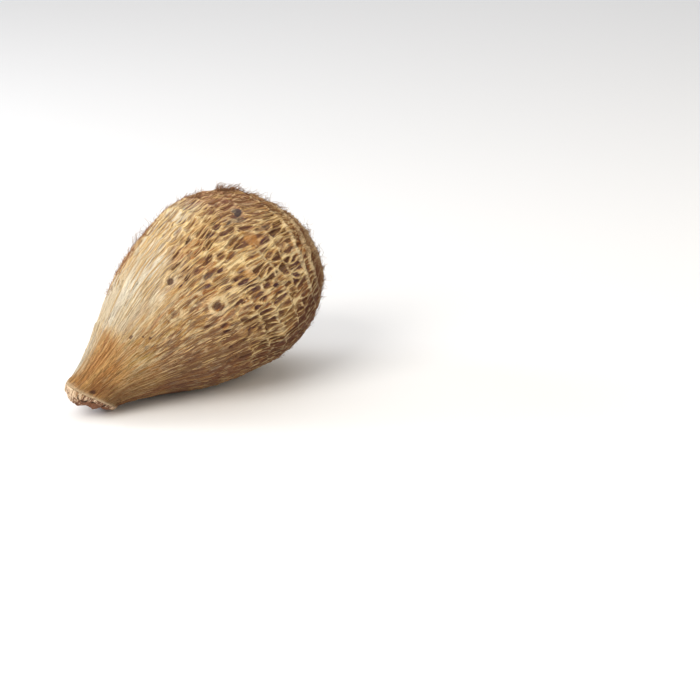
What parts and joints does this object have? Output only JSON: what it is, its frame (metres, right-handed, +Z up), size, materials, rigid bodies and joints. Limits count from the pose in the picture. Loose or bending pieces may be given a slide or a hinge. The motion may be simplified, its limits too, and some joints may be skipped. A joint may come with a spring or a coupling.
{
  "type": "taro root",
  "caption": "Whole unpeeled taro corm, pear-shaped, with a narrow scarred neck, a wide rounded body ringed with leaf scars, and coarse brown fibres; lies on its belly.",
  "frame": {"origin": "centre of the bounding box in X and Y, on the surface that the corm rests on", "axes": "+X along the corm from its narrow neck to its wide tip, +Z up; the corm's own axis tilts up about 23 degrees towards the tip"},
  "size_m": [0.1416, 0.0892, 0.0904],
  "materials": {
    "skin": "dry, matt, ribbed corm skin, cream to straw on the ribs, dark brown in the slits and orange-brown on the neck",
    "fibre": "dry, coarse, brown leaf-base fibre, matt, paler where it is frayed"
  },
  "bodies": {
    "root": {"corm": "skin"}
  },
  "joints": []
}
